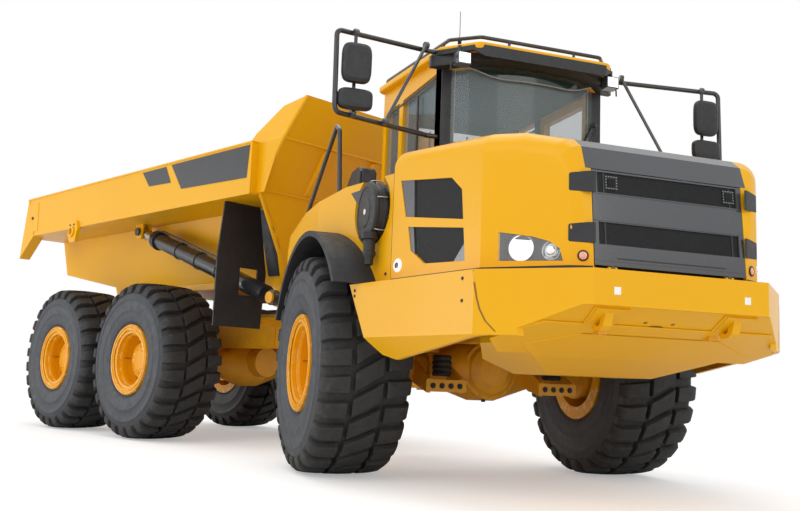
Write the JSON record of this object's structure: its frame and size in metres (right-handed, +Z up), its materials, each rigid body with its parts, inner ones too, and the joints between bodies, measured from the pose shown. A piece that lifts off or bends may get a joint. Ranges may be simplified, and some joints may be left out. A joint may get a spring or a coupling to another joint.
{
  "type": "articulated dump truck",
  "caption": "Articulated dump truck: cab and hood unit hinged to a rear unit with a tipping load body on a wheel bogie.",
  "frame": {"origin": "bottom centre of the parked truck's bounding box, on the ground", "axes": "+X forward along the cab unit, +Y to its left, +Z up"},
  "size_m": [10.8558, 6.0558, 3.7346],
  "materials": {
    "yellow_paint": "gloss yellow paint",
    "dark_grey_paint": "satin dark grey paint",
    "black_plastic": "textured black plastic",
    "tyre": "black tyre rubber",
    "black_rubber": "black rubber sheet",
    "steel": "bright rod steel",
    "cast_iron": "painted castings",
    "glass": "tinted cab glass",
    "lamp_glass": "clear lamp lens",
    "seat_fabric": "dark woven fabric",
    "mirror_case": "black mirror case"
  },
  "bodies": {
    "tractor": {"front_frame": "dark_grey_paint", "front_axle": "cast_iron", "suspension_struts": "cast_iron", "bumper": "yellow_paint", "skid_plate": "yellow_paint", "radiator": "black_plastic", "engine": "cast_iron", "transmission": "cast_iron", "fenders": "yellow_paint", "arch_flares": "black_rubber", "cowl": "yellow_paint", "steps": "dark_grey_paint", "cab_shell": "yellow_paint", "cab_roof": "yellow_paint", "visor": "dark_grey_paint", "cab_glass": "glass", "seat": "seat_fabric", "console": "black_plastic", "air_cleaner": "black_plastic", "mirror_arms": "dark_grey_paint", "mirrors": "mirror_case", "handrails": "dark_grey_paint", "work_lamps": "lamp_glass"},
    "hood": {"hood": "yellow_paint", "hood_cap": "dark_grey_paint", "headlights": "lamp_glass", "hood_vents": "dark_grey_paint"},
    "grille": {"grille": "dark_grey_paint"},
    "door": {"door": "yellow_paint", "door_glass": "glass"},
    "hitch": {"hitch": "dark_grey_paint"},
    "load_frame": {"load_frame": "dark_grey_paint", "bogie_beams": "dark_grey_paint", "rear_axles": "cast_iron", "mudflaps": "black_rubber"},
    "dump_body": {"dump_body": "yellow_paint"},
    "wheel_front_left": {"tyre_front_left": "tyre", "rim_front_left": "yellow_paint"},
    "wheel_front_right": {"tyre_front_right": "tyre", "rim_front_right": "yellow_paint"},
    "wheel_middle_left": {"tyre_middle_left": "tyre", "rim_middle_left": "yellow_paint"},
    "wheel_middle_right": {"tyre_middle_right": "tyre", "rim_middle_right": "yellow_paint"},
    "wheel_rear_left": {"tyre_rear_left": "tyre", "rim_rear_left": "yellow_paint"},
    "wheel_rear_right": {"tyre_rear_right": "tyre", "rim_rear_right": "yellow_paint"},
    "hoist_barrel_left": {"hoist_barrel_left": "dark_grey_paint"},
    "hoist_rod_left": {"hoist_rod_left": "steel"},
    "hoist_barrel_right": {"hoist_barrel_right": "dark_grey_paint"},
    "hoist_rod_right": {"hoist_rod_right": "steel"},
    "steering_barrel_left": {"steering_barrel_left": "dark_grey_paint"},
    "steering_rod_left": {"steering_rod_left": "steel"},
    "steering_barrel_right": {"steering_barrel_right": "dark_grey_paint"},
    "steering_rod_right": {"steering_rod_right": "steel"}
  },
  "joints": [
    {"name": "wheel_front_left_turn", "type": "hinge", "parent": "tractor", "child": "wheel_front_left", "pos_m": [2.51391, 2.56206, 0.905], "axis": [0, 1, 0], "continuous": true},
    {"name": "wheel_front_right_turn", "type": "hinge", "parent": "tractor", "child": "wheel_front_right", "pos_m": [2.51391, -0.07394, 0.905], "axis": [0, 1, 0], "continuous": true},
    {"name": "wheel_middle_left_turn", "type": "hinge", "parent": "load_frame", "child": "wheel_middle_left", "pos_m": [-2.26499, 1.10186, 0.905], "axis": [-0.4274, 0.9041, 0], "continuous": true},
    {"name": "wheel_middle_right_turn", "type": "hinge", "parent": "load_frame", "child": "wheel_middle_right", "pos_m": [-1.13848, -1.2813, 0.905], "axis": [-0.4274, 0.9041, 0], "continuous": true},
    {"name": "wheel_rear_left_turn", "type": "hinge", "parent": "load_frame", "child": "wheel_rear_left", "pos_m": [-4.01891, 0.27279, 0.905], "axis": [-0.4274, 0.9041, 0], "continuous": true},
    {"name": "wheel_rear_right_turn", "type": "hinge", "parent": "load_frame", "child": "wheel_rear_right", "pos_m": [-2.8924, -2.11038, 0.905], "axis": [-0.4274, 0.9041, 0], "continuous": true},
    {"name": "hood_tilt", "type": "hinge", "parent": "tractor", "child": "hood", "pos_m": [3.81391, 1.24406, 2.5], "axis": [0, -1, 0], "range_deg": [0, 65]},
    {"name": "grille_fold", "type": "hinge", "parent": "tractor", "child": "grille", "pos_m": [5.30391, 1.24406, 1.507], "axis": [0, 1, 0], "range_deg": [0, 90]},
    {"name": "door_swing", "type": "hinge", "parent": "tractor", "child": "door", "pos_m": [2.27791, 2.02206, 2.7], "axis": [0, 0, 1], "range_deg": [0, 85]},
    {"name": "steer", "type": "hinge", "parent": "tractor", "child": "hitch", "pos_m": [1.11991, 1.24406, 1.06], "axis": [0, 0, 1], "range_deg": [-70.3, 19.7]},
    {"name": "hitch_roll", "type": "hinge", "parent": "hitch", "child": "load_frame", "pos_m": [0.52321, 0.96201, 1.06], "axis": [0.9041, 0.4274, 0], "range_deg": [-10, 10]},
    {"name": "dump", "type": "hinge", "parent": "load_frame", "child": "dump_body", "pos_m": [-3.81277, -1.0876, 1.62], "axis": [0.4274, -0.9041, 0], "range_deg": [0, 70]},
    {"name": "hoist_swing_left", "type": "hinge", "parent": "load_frame", "child": "hoist_barrel_left", "pos_m": [-0.30572, 1.95279, 1.583], "axis": [0.4274, -0.9041, 0], "range_deg": [-4.4, 0.5]},
    {"name": "hoist_stroke_left", "type": "slide", "parent": "hoist_barrel_left", "child": "hoist_rod_left", "axis": [-0.8578, -0.4055, 0.3158], "range_m": [0, 2.193]},
    {"name": "hoist_swing_right", "type": "hinge", "parent": "load_frame", "child": "hoist_barrel_right", "pos_m": [0.76268, -0.30741, 1.583], "axis": [0.4274, -0.9041, 0], "range_deg": [-4.4, 0.5]},
    {"name": "hoist_stroke_right", "type": "slide", "parent": "hoist_barrel_right", "child": "hoist_rod_right", "axis": [-0.8578, -0.4055, 0.3158], "range_m": [0, 2.193]},
    {"name": "steering_swing_left", "type": "hinge", "parent": "tractor", "child": "steering_barrel_left", "pos_m": [2.24991, 1.60406, 0.9], "axis": [0, 0, 1], "range_deg": [-0.67, 1.12]},
    {"name": "steering_stroke_left", "type": "slide", "parent": "steering_barrel_left", "child": "steering_rod_left", "axis": [-0.9977, -0.0685, 0], "range_m": [-0.384, 0.115]},
    {"name": "steering_swing_right", "type": "hinge", "parent": "tractor", "child": "steering_barrel_right", "pos_m": [2.24991, 0.88406, 0.9], "axis": [0, 0, 1], "range_deg": [-4, 1.48]},
    {"name": "steering_stroke_right", "type": "slide", "parent": "steering_barrel_right", "child": "steering_rod_right", "axis": [-0.9992, 0.0399, 0], "range_m": [-0.113, 0.376]}
  ],
  "couplings": [
    {"joint": "hoist_swing_left", "follows": "dump", "ratio": -0.055759},
    {"joint": "hoist_stroke_left", "follows": "dump", "m_per_rad": 1.7867},
    {"joint": "hoist_swing_right", "follows": "dump", "ratio": -0.055759},
    {"joint": "hoist_stroke_right", "follows": "dump", "m_per_rad": 1.7867},
    {"joint": "steering_swing_left", "follows": "steer", "ratio": -0.008847},
    {"joint": "steering_stroke_left", "follows": "steer", "m_per_rad": 0.30466},
    {"joint": "steering_swing_right", "follows": "steer", "ratio": 0.049815},
    {"joint": "steering_stroke_right", "follows": "steer", "m_per_rad": -0.2982}
  ]
}
